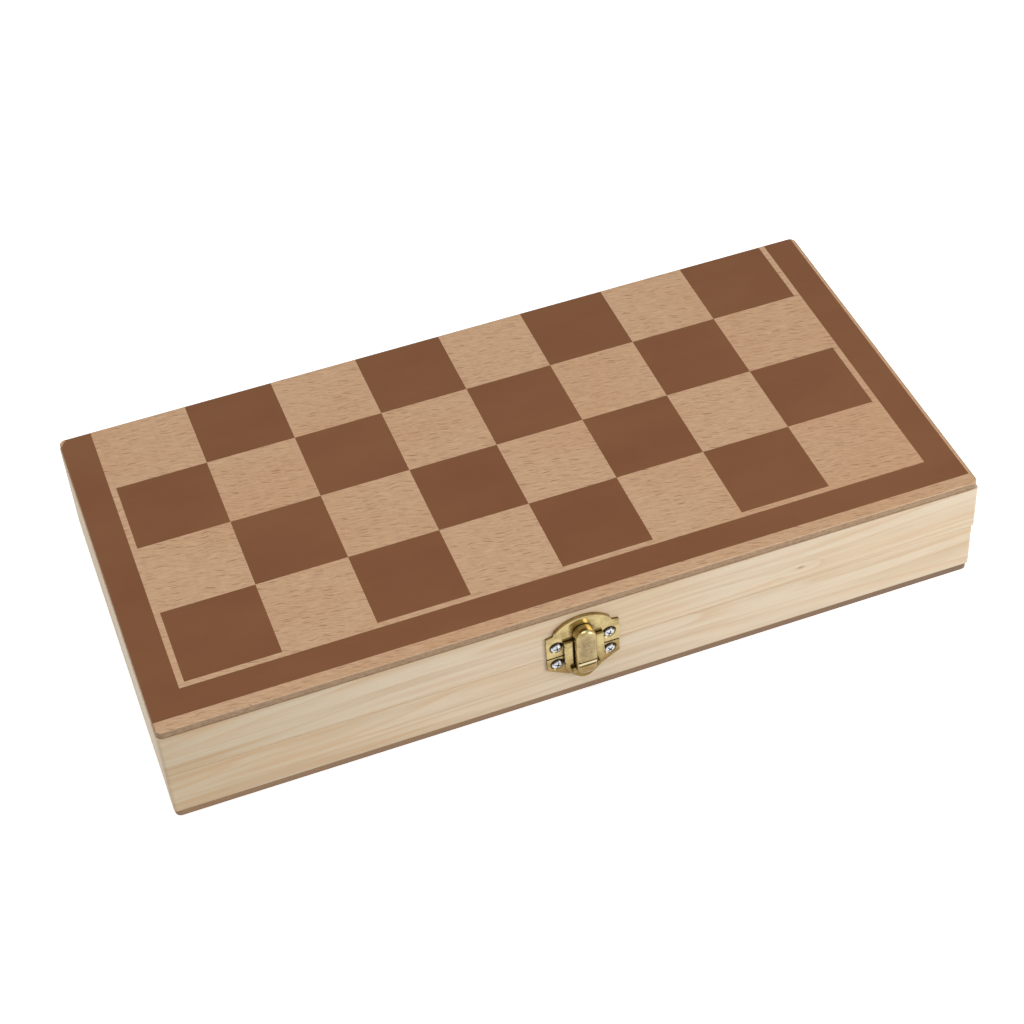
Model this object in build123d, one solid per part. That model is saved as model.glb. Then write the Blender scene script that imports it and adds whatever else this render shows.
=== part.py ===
from build123d import *
import os
from math import atan2, cos, degrees, sin

# Folding chess set: two shallow wooden trays, hinged along the back, that close into a flat box.
# The outer faces carry the printed board. The chessmen lie loose in the lower tray.
# Millimetres. +X runs along the box, -Y is the front with the clasp, +Y the hinges, +Z is up.
# The origin is the centre of the face that the closed box rests on.

os.makedirs("parts", exist_ok=True)

# Closed box
box_length = 290.0
box_width = 149.5
rail_height = 18.0
rail_thickness = 8.0
core_thickness = 2.6
skin_thickness = 0.4
corner_radius = 1.2
parting_arris = 0.3
panel_inset = 0.3
panel_corner = 2.2
skin_arris = 0.15
lid_overhang = 0.7

# Butt hinges, let into the two back rails
hinge_spacing = 170.0
hinge_length = 32.0
leaf_width = 6.4
leaf_thickness = 0.75
leaf_clearance = 0.05
barrel_radius = 1.9
knuckles = 5
knuckle_gap = 0.2
hinge_pin_radius = 0.8
hinge_pin_head = 1.3
hinge_pin_head_thickness = 0.5
hinge_pin_clearance = 0.05
barrel_clearance = 0.25
trough_end = 1.0
spine_gap = 0.3
hinge_screw_spacing = 20.0
hinge_screw_head = 1.7
hinge_screw_shank = 0.8
hinge_screw_length = 9.0

# Front clasp, seen from the front: across, up from the parting line, out from the rails
clasp_x = -1.0
plate_thickness = 0.8
plate_half_width = 13.0
plate_parting_gap = 0.3
keeper_shoulder = 9.8
keeper_arch_half = 9.9
keeper_arch_foot = 12.0
keeper_arch_top = 16.4
keeper_ear = 0.6
keeper_ear_rise = 0.4
keeper_bead_width = 0.9
keeper_bead_height = 0.6
hook_half_width = 1.2
hook_thickness = 0.85
hook_reach = 3.3
hook_height = 8.0
hook_gap = 0.75
base_side_drop = 5.4
base_foot_half = 6.0
base_foot_drop = 9.4
base_chin_drop = 10.4
yoke_half_width = 7.1
yoke_thickness = 1.2
yoke_lift = 0.3
yoke_edge_radius = 0.4
yoke_stud_radius = 0.9
yoke_stud_up = 1.2
yoke_arm_top = 6.6
yoke_arm_width = 3.2
yoke_bend_drop = 4.0
yoke_nose_half = 2.6
yoke_nose_shoulder = 11.0
yoke_nose_drop = 12.0
lug_thickness = 0.8
lug_clearance = 0.2
lug_radius = 1.05
pivot_drop = 6.0
pivot_out = 3.1
lever_half_width = 3.7
lever_wall = 0.7
lever_back_gap = 0.2
lever_arch_top = 12.4
lever_edge_radius = 1.4
lever_crease_drop = 1.2
lever_crease_height = 2.2
lever_crease_depth = 0.7
lever_boss_height = 2.3
latch_pin_radius = 0.6
latch_pin_clearance = 0.05
latch_pin_head = 0.35
clasp_screw_across = 9.4
keeper_screw_up = 4.6
base_screw_down = 3.4
clasp_screw_head = 2.0
clasp_screw_rise = 1.2
clasp_screw_shank = 0.95
clasp_screw_length = 7.4
clasp_recess = (1.15, 0.42, 0.7)
hinge_recess = (0.95, 0.4, 0.6)
screw_hole_clearance = 0.15
dimple_depth = 0.45
dimple_clearance = 0.1
dimple_flare = 0.4

# Chessmen: height and foot radius of each kind
king_height = 58.0
king_radius = 12.0
queen_height = 52.0
queen_radius = 11.5
bishop_height = 46.0
bishop_radius = 10.5
knight_height = 40.0
knight_radius = 10.5
rook_height = 34.0
rook_radius = 10.5
pawn_height = 30.0
pawn_radius = 9.0
men_gap = 0.5
men_wall_gap = 1.5

# Worked out from the sizes above
panel_thickness = core_thickness + skin_thickness
parting_z = panel_thickness + rail_height
front_y = -box_width / 2
back_y = box_width / 2
inner_length = box_length - 2 * rail_thickness
inner_width = box_width - 2 * rail_thickness
hinge_y = back_y + spine_gap / 2
hinge_screw_inset = barrel_radius + barrel_clearance + hinge_screw_head
margin = 5.0


def block(low, high):
    """A box between two opposite corners."""
    size = [b - a for a, b in zip(low, high)]
    middle = [(a + b) / 2 for a, b in zip(low, high)]
    return Pos(*middle) * Box(*size)


def single(shape):
    return shape.solids()[0]


def save(node, shape):
    export_step(shape, f"parts/{node}.step")


def cap_arc(radius, base, top):
    """The arc of a low dome that meets the turning axis squarely."""
    rise = top - base
    dome = (radius ** 2 + rise ** 2) / (2 * rise)
    centre = top - dome
    half_turn = atan2(radius, base - centre) / 2
    middle = (dome * sin(half_turn), centre + dome * cos(half_turn))
    return ThreePointArc((radius, base), middle, (0, top))


def ball_foot(start, ball, top):
    """Height at which a ball on the turning axis is as narrow as its neck."""
    return top - ball - (ball ** 2 - start ** 2) ** 0.5


def ball_arc(start, ball, top):
    return ThreePointArc((start, ball_foot(start, ball, top)), (ball, top - ball), (0, top))


def tube_x(radius, x0, x1, y, z):
    """A round bar along X."""
    return Pos((x0 + x1) / 2, y, z) * Rot(0, 90, 0) * Cylinder(radius, x1 - x0)


def flip_up(shape):
    """Turn a piece of the lower half over the parting plane, to serve the lid."""
    return shape.mirror(Plane.XY.offset(parting_z))


# Frames of the two halves: a ring of pine, parted into four rails that meet in butt joints

def frame_ring(length, centre_x):
    """The lower half's ring, from the panel up to the parting plane."""
    outline = Pos(centre_x, 0, panel_thickness) * RectangleRounded(length, box_width, corner_radius)
    opening = Pos(centre_x, 0, panel_thickness) * Rectangle(length - 2 * rail_thickness, inner_width)
    ring = extrude(outline - opening, rail_height)
    rim = ring.faces().sort_by(Axis.Z)[-1].outer_wire().edges()
    return chamfer(rim, parting_arris)


def rails(length, centre_x):
    """Front and back run full length, the sides stand between them."""
    ring = frame_ring(length, centre_x)
    left = centre_x - length / 2
    right = centre_x + length / 2
    low_z = panel_thickness - margin
    high_z = parting_z + margin
    inner_y = inner_width / 2
    cells = {
        "front_rail": ((left - margin, front_y - margin, low_z), (right + margin, -inner_y, high_z)),
        "back_rail": ((left - margin, inner_y, low_z), (right + margin, back_y + margin, high_z)),
        "left_rail": ((left - margin, -inner_y, low_z), (left + rail_thickness, inner_y, high_z)),
        "right_rail": ((right - rail_thickness, -inner_y, low_z), (right + margin, inner_y, high_z)),
    }
    return {name: single(ring & block(*cell)) for name, cell in cells.items()}


def panel(length, centre_x, low, thickness):
    outline = RectangleRounded(length - 2 * panel_inset, box_width - 2 * panel_inset, panel_corner)
    return Pos(centre_x, 0, low) * extrude(outline, thickness)


def skin(length, centre_x):
    """The printed face: its outer edge is eased by wear."""
    sheet = panel(length, centre_x, 0, skin_thickness)
    return chamfer(sheet.faces().sort_by(Axis.Z)[0].outer_wire().edges(), skin_arris)


# Hinges

def knuckle_span(index, centre_x):
    """Ends along X of one knuckle of the barrel."""
    pitch = hinge_length / knuckles
    start = centre_x - hinge_length / 2 + index * pitch
    return start + knuckle_gap / 2, start + pitch - knuckle_gap / 2


def leaf_plate(centre_x):
    return block(
        (centre_x - hinge_length / 2, hinge_y - leaf_width, parting_z - leaf_clearance - leaf_thickness),
        (centre_x + hinge_length / 2, hinge_y, parting_z - leaf_clearance),
    )


def cross_recess(reach, width, depth, top, turn):
    """The driver's cross in a screw head: two slots and a round socket where they meet."""
    slot = Box(2 * reach, width, 2 * depth)
    return Pos(0, 0, top) * Rot(0, 0, turn) * (slot + Rot(0, 0, 90) * slot + Cylinder(width, 2 * depth))


def hinge_screw_places(centre_x):
    y = hinge_y - hinge_screw_inset
    return [(centre_x + side * hinge_screw_spacing / 2, y) for side in (-1, 1)]


def hinge_screw_outline(extra):
    """Half section of a countersunk screw, or of its bore with some extra, its flat top at height 0."""
    head = hinge_screw_head + extra
    shank = hinge_screw_shank + extra
    tip = -(hinge_screw_length + extra)
    return make_face(Polyline(
        (0, 0), (head, 0), (shank, -(hinge_screw_head - hinge_screw_shank)),
        (shank, tip + shank), (0, tip), (0, 0),
    ))


def hinge_screw(x, y, extra):
    turned = revolve(Plane.XZ * hinge_screw_outline(extra), Axis.Z)
    return Pos(x, y, parting_z - leaf_clearance) * turned


def crossed_hinge_screw(x, y):
    top = parting_z - leaf_clearance
    return single(hinge_screw(x, y, 0) - Pos(x, y, 0) * cross_recess(*hinge_recess, top, 20 + 2 * x))


def lower_leaf(centre_x, own):
    """A leaf with every second knuckle. The lid's leaf is the same piece turned over, with the others."""
    plate = leaf_plate(centre_x)
    barrel = None
    for index in range(knuckles):
        x0, x1 = knuckle_span(index, centre_x)
        if index % 2 == own:
            knuckle = tube_x(barrel_radius, x0, x1, hinge_y, parting_z)
            barrel = knuckle if barrel is None else barrel + knuckle
        else:
            plate -= tube_x(barrel_radius + barrel_clearance, x0 - knuckle_gap, x1 + knuckle_gap,
                            hinge_y, parting_z)
    bore = tube_x(hinge_pin_radius + hinge_pin_clearance, centre_x - hinge_length,
                  centre_x + hinge_length, hinge_y, parting_z)
    leaf = plate + barrel - bore
    for x, y in hinge_screw_places(centre_x):
        leaf -= hinge_screw(x, y, leaf_clearance)
    return single(leaf)


def hinge_pin(centre_x):
    """A pin with a low head at each end, which keeps it in the barrel."""
    half = hinge_length / 2
    head = hinge_pin_head_thickness
    shank = tube_x(hinge_pin_radius, centre_x - half - head, centre_x + half + head, hinge_y, parting_z)
    for side in (-1, 1):
        near = centre_x + side * (half + hinge_pin_clearance)
        far = near + side * head
        shank += tube_x(hinge_pin_head, min(near, far), max(near, far), hinge_y, parting_z)
    return single(shank)


def hinge_mortise(centre_x):
    """What the back rail loses for one hinge: the leaf's bed, the barrel's trough and the pilot holes."""
    ends = hinge_length / 2 + trough_end
    bed = block(
        (centre_x - hinge_length / 2 - leaf_clearance, hinge_y - leaf_width - leaf_clearance,
         parting_z - leaf_clearance - leaf_thickness),
        (centre_x + hinge_length / 2 + leaf_clearance, back_y + margin, parting_z + margin),
    )
    trough = tube_x(barrel_radius + barrel_clearance, centre_x - ends, centre_x + ends, hinge_y, parting_z)
    cut = bed + trough
    for x, y in hinge_screw_places(centre_x):
        cut += hinge_screw(x, y, leaf_clearance)
    return cut


# Clasp pieces are drawn in the clasp's own plane: X across, Y up from the parting line, Z outwards

clasp_place = Plane(origin=(clasp_x, front_y, parting_z), x_dir=(1, 0, 0), z_dir=(0, -1, 0)).location
lever_back = plate_thickness + lever_back_gap
lip_radius = pivot_out - lever_back
lever_face = pivot_out + lip_radius
boss_top = lever_boss_height - pivot_drop
screw_seat = plate_thickness - dimple_depth
yoke_back = plate_thickness + yoke_lift


def on_box(shape):
    return clasp_place * shape


def side_slab(points, half_width):
    """A slab across the clasp whose outline is given as (out, up) points."""
    outline = make_face(Polyline(*[(0, up, out) for out, up in points], close=True))
    return extrude(outline, half_width, dir=(1, 0, 0), both=True)


def clasp_screw_places(up):
    return [(side * clasp_screw_across, up) for side in (-1, 1)]


def clasp_screw(across, up):
    """A pan head in the plate's dimple, its cross turned as it came to rest, with its shank in the rail."""
    head = clasp_screw_head
    edge = 0.35 * clasp_screw_rise
    seat = screw_seat
    tip = seat - clasp_screw_length
    section = make_face(
        Line((0, tip), (clasp_screw_shank, tip + 2 * clasp_screw_shank))
        + Line((clasp_screw_shank, tip + 2 * clasp_screw_shank), (clasp_screw_shank, seat))
        + Line((clasp_screw_shank, seat), (head, seat))
        + Line((head, seat), (head, seat + edge))
        + cap_arc(head, seat + edge, seat + clasp_screw_rise)
        + Line((0, seat + clasp_screw_rise), (0, tip))
    )
    turn = 20 + 3 * (across + up)
    cross = cross_recess(*clasp_recess, seat + clasp_screw_rise, turn)
    return Pos(across, up, 0) * (revolve(Plane.XZ * section, Axis.Z) - cross)


def screw_bore(across, up):
    """A clear hole whose mouth is pressed into a shallow dimple for the head."""
    floor = clasp_screw_head + dimple_clearance
    hole = Cylinder(clasp_screw_shank + screw_hole_clearance, 4 * plate_thickness)
    dimple = Pos(0, 0, screw_seat + dimple_depth / 2) * Cone(floor, floor + dimple_flare, dimple_depth)
    return Pos(across, up, 0) * (hole + dimple)


def pilot_bore(across, up):
    depth = clasp_screw_length
    return Pos(across, up, -depth / 2) * Cylinder(clasp_screw_shank, depth)


def keeper_plate():
    """The upper plate: an arched top between two shoulders, a raised bead, and the hook."""
    half = plate_half_width
    foot = plate_parting_gap
    arch = keeper_arch_half
    ear = arch + keeper_ear
    ear_top = keeper_shoulder + keeper_ear_rise
    outline = make_face(
        Polyline((-arch, keeper_arch_foot), (-ear, ear_top), (-half, keeper_shoulder),
                 (-half, foot), (half, foot), (half, keeper_shoulder), (ear, ear_top),
                 (arch, keeper_arch_foot))
        + ThreePointArc((arch, keeper_arch_foot), (0, keeper_arch_top), (-arch, keeper_arch_foot))
    )
    plate = extrude(outline, plate_thickness)
    inner = keeper_bead_width
    bead = make_face(
        ThreePointArc((arch, keeper_arch_foot), (0, keeper_arch_top), (-arch, keeper_arch_foot))
        + Line((-arch, keeper_arch_foot), (-arch + inner, keeper_arch_foot - 0.4 * inner))
        + ThreePointArc((-arch + inner, keeper_arch_foot - 0.4 * inner), (0, keeper_arch_top - inner),
                        (arch - inner, keeper_arch_foot - 0.4 * inner))
        + Line((arch - inner, keeper_arch_foot - 0.4 * inner), (arch, keeper_arch_foot))
    )
    plate += extrude(bead, plate_thickness + keeper_bead_height)
    nose_top = lever_arch_top - lever_wall - hook_gap
    plate += side_slab([
        (0, hook_height), (hook_reach - 0.3, hook_height), (hook_reach, hook_height + 0.4),
        (hook_reach, nose_top), (hook_reach - hook_thickness, nose_top),
        (hook_reach - hook_thickness, hook_height + hook_thickness), (0, hook_height + hook_thickness),
    ], hook_half_width)
    for across, up in clasp_screw_places(keeper_screw_up):
        plate -= screw_bore(across, up)
    return single(plate)


def latch_base_plate():
    """The lower plate, drawn in below its screws to a blunt chin."""
    half = plate_half_width
    outline = make_face(
        Polyline((-base_foot_half, -base_foot_drop), (-half, -base_side_drop), (-half, -plate_parting_gap),
                 (half, -plate_parting_gap), (half, -base_side_drop), (base_foot_half, -base_foot_drop))
        + ThreePointArc((base_foot_half, -base_foot_drop), (0, -base_chin_drop),
                        (-base_foot_half, -base_foot_drop))
    )
    plate = extrude(outline, plate_thickness)
    for across, up in clasp_screw_places(-base_screw_down):
        plate -= screw_bore(across, up)
    return single(plate)


def latch_yoke():
    """The wishbone that frames the lever: two arms that bend together at the nose, with the pin's lugs."""
    outer = yoke_half_width
    arm = outer - yoke_arm_width
    nose = yoke_nose_half
    bend = (0.79 * outer, -(yoke_bend_drop + 0.53 * (yoke_nose_shoulder - yoke_bend_drop)))
    crotch = pivot_drop + lip_radius + 0.5
    outline = make_face(
        Line((-outer, yoke_arm_top), (-outer, -yoke_bend_drop))
        + ThreePointArc((-outer, -yoke_bend_drop), (-bend[0], bend[1]), (-nose, -yoke_nose_shoulder))
        + ThreePointArc((-nose, -yoke_nose_shoulder), (0, -yoke_nose_drop), (nose, -yoke_nose_shoulder))
        + ThreePointArc((nose, -yoke_nose_shoulder), bend, (outer, -yoke_bend_drop))
        + Polyline((outer, -yoke_bend_drop), (outer, yoke_arm_top), (arm, yoke_arm_top),
                   (arm, -(crotch - arm)))
        + ThreePointArc((arm, -(crotch - arm)), (0, -crotch), (-arm, -(crotch - arm)))
        + Polyline((-arm, -(crotch - arm)), (-arm, yoke_arm_top), (-outer, yoke_arm_top))
    )
    yoke = Pos(0, 0, yoke_back) * extrude(outline, yoke_thickness)
    rounding = yoke.faces().sort_by(Axis.Z)[-1].outer_wire().edges()
    yoke = fillet(rounding, yoke_edge_radius)
    inner = lever_half_width + lug_clearance
    for side in (-1, 1):
        x0, x1 = sorted((side * inner, side * (inner + lug_thickness)))
        cheek = tube_x(lug_radius, x0, x1, -pivot_drop, pivot_out)
        web = block((x0, -pivot_drop - lug_radius, yoke_back), (x1, -pivot_drop + lug_radius, pivot_out))
        yoke += cheek + web
        stud_x = side * (arm + yoke_arm_width / 2)
        on_arm = Pos(stud_x, yoke_stud_up - base_side_drop, plate_thickness + yoke_lift / 2)
        yoke += on_arm * Cylinder(yoke_stud_radius, yoke_lift)
    yoke -= tube_x(latch_pin_radius + latch_pin_clearance, -2 * outer, 2 * outer, -pivot_drop, pivot_out)
    return single(yoke)


def stadium(half_width, top, bottom):
    """A slot-shaped outline, with round ends whose outermost points are top and bottom."""
    height = top - bottom
    return Pos(0, (top + bottom) / 2) * Rot(0, 0, 90) * SlotOverall(height, 2 * half_width)


def latch_lever():
    """The pull-down lever: a deep pressed cap with a round top, a thumb crease and a rounded lip."""
    bottom = -pivot_drop - lip_radius
    body = Pos(0, 0, lever_back) * extrude(stadium(lever_half_width, lever_arch_top, bottom),
                                           lever_face - lever_back)
    body = fillet(body.faces().sort_by(Axis.Z)[-1].outer_wire().edges(), lever_edge_radius)
    crease_top = -lever_crease_drop
    crease_foot = crease_top - lever_crease_height
    body -= side_slab([
        (lever_face + 1, crease_top), (lever_face - lever_crease_depth, crease_top - 0.2),
        (lever_face, crease_foot), (lever_face + 1, crease_foot),
    ], 2 * lever_half_width)
    wall = lever_wall
    hollow = extrude(stadium(lever_half_width - wall, lever_arch_top - wall, boss_top), lever_face)
    hollow &= side_slab([
        (0, lever_arch_top), (lever_face - wall, lever_arch_top), (lever_face - wall, crease_top + 0.6),
        (lever_face - wall - lever_crease_depth, crease_top - 0.2),
        (lever_face - wall - lever_crease_depth, boss_top), (0, boss_top),
    ], 2 * lever_half_width)
    body -= hollow
    below = block((-margin, bottom - margin, -margin), (margin, -pivot_drop, lever_face + margin))
    below -= tube_x(lip_radius, -2 * margin, 2 * margin, -pivot_drop, pivot_out)
    body -= below
    body -= tube_x(latch_pin_radius + latch_pin_clearance, -2 * margin, 2 * margin, -pivot_drop, pivot_out)
    return single(body)


def latch_pin():
    """Runs through both lugs, peened over outside them."""
    half = lever_half_width + lug_clearance + lug_thickness + latch_pin_clearance
    pin = tube_x(latch_pin_radius, -half, half, -pivot_drop, pivot_out)
    for side in (-1, 1):
        x0, x1 = sorted((side * half, side * (half + latch_pin_head)))
        pin += tube_x(1.25 * latch_pin_radius, x0, x1, -pivot_drop, pivot_out)
    return single(pin)


# Chessmen are turned upright on their feet. A profile is given in shares of the foot's radius and the height

def turned(section):
    return single(revolve(Plane.XZ * section, Axis.Z))


def foot_and_stem(radius, height, waist, neck, collar):
    """Edges from the centre of the sole up to the collar: a stepped foot and a flared stem."""
    sole = 0.07 * height
    step = 0.13 * height
    belly = step + 0.3 * (neck - step)
    return (
        Polyline((0, 0), (radius, 0), (radius, sole), (0.86 * radius, sole + 0.015 * height),
                 (0.74 * radius, step))
        + ThreePointArc((0.74 * radius, step), (0.5 * (0.74 * radius + waist) - 0.1 * radius, belly),
                        (waist, neck))
        + Polyline((waist, neck), (collar, neck + 0.02 * height), (collar, neck + 0.045 * height))
    )


def pawn():
    radius, height = pawn_radius, pawn_height
    ball = 0.58 * radius
    neck = height - 2 * ball - 0.02 * height
    collar = 0.6 * radius
    start = 0.34 * radius
    section = make_face(
        foot_and_stem(radius, height, start, neck - 0.045 * height, collar)
        + Line((collar, neck), (start, ball_foot(start, ball, height)))
        + ball_arc(start, ball, height)
        + Line((0, height), (0, 0))
    )
    return turned(section)


def rook():
    radius, height = rook_radius, rook_height
    neck = 0.66 * height
    top = 0.7 * radius
    well = 0.46 * radius
    depth = 0.1 * height
    section = make_face(
        foot_and_stem(radius, height, 0.46 * radius, neck, 0.66 * radius)
        + Polyline((0.66 * radius, neck + 0.045 * height), (0.56 * radius, neck + 0.07 * height),
                   (top, 0.84 * height), (top, height), (well, height), (well, height - depth),
                   (0, height - depth), (0, 0))
    )
    body = turned(section)
    slot = 0.22 * radius
    for turn in (0, 90):
        body -= Pos(0, 0, height) * Rot(0, 0, turn) * Box(3 * radius, slot, 1.6 * depth)
    return single(body)


def bishop():
    radius, height = bishop_radius, bishop_height
    neck = 0.6 * height
    collar = 0.56 * radius
    rise = neck + 0.045 * height
    mitre = 0.47 * radius
    knob = 0.17 * radius
    throat = 0.7 * knob
    top = ball_foot(throat, knob, height)
    low = rise + 0.02 * height
    wide = rise + 0.42 * (top - rise)
    section = make_face(
        foot_and_stem(radius, height, 0.3 * radius, neck, collar)
        + Polyline((collar, rise), (0.34 * radius, low))
        + ThreePointArc((0.34 * radius, low), (0.93 * mitre, 0.55 * low + 0.45 * wide), (mitre, wide))
        + ThreePointArc((mitre, wide), (0.72 * mitre, 0.45 * wide + 0.55 * top), (throat, top))
        + ball_arc(throat, knob, height)
        + Line((0, height), (0, 0))
    )
    body = turned(section)
    cut = Pos(0.62 * mitre, 0, rise + 0.62 * (top - rise)) * Rot(0, 40, 0) * Box(mitre, 3 * mitre, 0.9)
    return single(body - cut)


def queen():
    radius, height = queen_radius, queen_height
    neck = 0.66 * height
    collar = 0.56 * radius
    rise = neck + 0.045 * height
    rim = 0.6 * radius
    lip = 0.93 * height
    ball = 0.2 * radius
    throat = 0.5 * ball
    section = make_face(
        foot_and_stem(radius, height, 0.33 * radius, neck, collar)
        + Polyline((collar, rise), (0.36 * radius, rise + 0.02 * height))
        + ThreePointArc((0.36 * radius, rise + 0.02 * height), (0.41 * radius, 0.83 * height), (rim, lip))
        + Polyline((rim, lip), (0.42 * radius, lip - 0.01 * height),
                   (throat, ball_foot(throat, ball, height)))
        + ball_arc(throat, ball, height)
        + Line((0, height), (0, 0))
    )
    body = turned(section)
    points = 8
    for index in range(points):
        notch = Rot(0, 0, 360 / points * index) * Pos(rim, 0, lip) * Rot(45, 0, 0) * Box(0.5 * rim, 1.7, 1.7)
        body -= notch
    return single(body)


def king():
    radius, height = king_radius, king_height
    neck = 0.62 * height
    collar = 0.56 * radius
    rise = neck + 0.045 * height
    crown = 0.5 * radius
    lip = 0.83 * height
    dome = 0.865 * height
    section = make_face(
        foot_and_stem(radius, height, 0.34 * radius, neck, collar)
        + Polyline((collar, rise), (0.36 * radius, rise + 0.02 * height), (crown, lip),
                   (0.42 * radius, lip + 0.012 * height))
        + ThreePointArc((0.42 * radius, lip + 0.012 * height), (0.25 * radius, dome - 0.004 * height),
                        (0, dome))
        + Line((0, dome), (0, 0))
    )
    body = turned(section)
    arm = 0.23 * radius
    stem = 0.09 * radius
    thick = 2.2
    low = dome - 0.01 * height
    middle = 0.55 * (height - dome) + dome
    cross = Plane.XZ * make_face(Polyline(
        (-1.7 * stem, low), (1.7 * stem, low), (stem, middle - stem), (arm, middle - 1.8 * stem),
        (arm, middle + 1.8 * stem), (stem, middle + stem), (1.8 * stem, height), (-1.8 * stem, height),
        (-stem, middle + stem), (-arm, middle + 1.8 * stem), (-arm, middle - 1.8 * stem),
        (-stem, middle - stem), close=True,
    ))
    return single(body + extrude(cross, thick / 2, both=True))


def knight():
    """A turned foot that carries a horse's head, sawn from a board and eased at its edges."""
    radius, height = knight_radius, knight_height
    step = 0.13 * height
    seat = 0.24 * height
    section = make_face(Polyline(
        (0, 0), (radius, 0), (radius, 0.07 * height), (0.86 * radius, 0.085 * height),
        (0.74 * radius, step), (0.62 * radius, seat - 0.03 * height), (0.66 * radius, seat), (0, seat),
        close=True,
    ))
    foot = turned(section)
    r = radius
    h = height
    head = make_face(
        Line((-0.6 * r, seat - 0.5), (0.52 * r, seat - 0.5))
        + ThreePointArc((0.52 * r, seat - 0.5), (0.32 * r, 0.42 * h), (0.2 * r, 0.56 * h))
        + Polyline((0.2 * r, 0.56 * h), (0.48 * r, 0.57 * h), (0.8 * r, 0.55 * h), (0.88 * r, 0.63 * h),
                   (0.72 * r, 0.72 * h), (0.3 * r, 0.9 * h), (0.1 * r, h), (-0.06 * r, 0.93 * h))
        + ThreePointArc((-0.06 * r, 0.93 * h), (-0.64 * r, 0.66 * h), (-0.6 * r, seat - 0.5))
    )
    board = extrude(Plane.XZ * head, 0.4 * radius, both=True)
    rims = board.faces().sort_by(Axis.Y)
    board = chamfer(rims[0].edges() + rims[-1].edges(), 0.9)
    for side in (-1, 1):
        muzzle_cut = Pos(0.62 * r, side * 0.52 * r, 0.62 * h)
        muzzle = muzzle_cut * Rot(0, 0, -side * 14) * Box(1.4 * r, 0.36 * r, h / 3)
        board -= muzzle
    return single(foot + board)


# How each kind lies: two points of its outline, (height, radius) in shares, that rest on the tray's floor
men = {
    "king": (king, king_height, king_radius, (0.0, 1.0), (0.83, 0.5)),
    "queen": (queen, queen_height, queen_radius, (0.0, 1.0), (0.93, 0.6)),
    "bishop": (bishop, bishop_height, bishop_radius, (0.0, 1.0), (0.77, 0.49)),
    "knight": (knight, knight_height, knight_radius, (0.0, 1.0), (0.96, 0.44)),
    "rook": (rook, rook_height, rook_radius, (0.0, 1.0), (1.0, 0.7)),
    "pawn": (pawn, pawn_height, pawn_radius, (0.0, 1.0), (0.84, 0.6)),
}
floor_gap = 0.15

# Columns across the tray from its left wall, each filled from the front: side and kinds
men_columns = [
    ("light", ["king", "queen"]),
    ("light", ["bishop", "knight", "pawn"]),
    ("light", ["bishop", "knight", "pawn"]),
    ("light", ["rook", "pawn", "pawn"]),
    ("light", ["rook", "pawn", "pawn"]),
    ("mixed", ["pawn", "pawn", "pawn", "pawn"]),
    ("dark", ["rook", "pawn", "pawn"]),
    ("dark", ["rook", "pawn", "pawn"]),
    ("dark", ["bishop", "knight", "pawn"]),
    ("dark", ["bishop", "knight", "pawn"]),
    ("dark", ["king", "queen"]),
]


def laid_down(kind, upright):
    """Lay a man on his side with the head to the back, his foot's rim and head both on the floor."""
    _, height, radius, rim, head = men[kind]
    rim_at = (rim[0] * height, rim[1] * radius)
    head_at = (head[0] * height, head[1] * radius)
    tilt = atan2(rim_at[1] - head_at[1], head_at[0] - rim_at[0])
    lying = Rot(-degrees(tilt), 0, 0) * Rot(-90, 0, 0) * upright
    box = lying.bounding_box()
    lift = panel_thickness + floor_gap - box.min.Z
    return Pos(0, -box.min.Y, lift) * lying


def place_men():
    """All the men at rest, by side and kind."""
    lying = {kind: laid_down(kind, spec[0]()) for kind, spec in men.items()}
    length = {kind: man.bounding_box().max.Y for kind, man in lying.items()}
    placed = {}
    x = -inner_length / 2 + men_wall_gap
    for side, kinds in men_columns:
        half = max(men[kind][2] for kind in kinds)
        y = -inner_width / 2 + men_wall_gap
        for index, kind in enumerate(kinds):
            colour = side if side != "mixed" else ("light" if index < 2 else "dark")
            placed.setdefault((colour, kind), []).append(Pos(x + half, y, 0) * lying[kind])
            y += length[kind] + men_gap
        x += 2 * half + men_gap
    return placed


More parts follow.
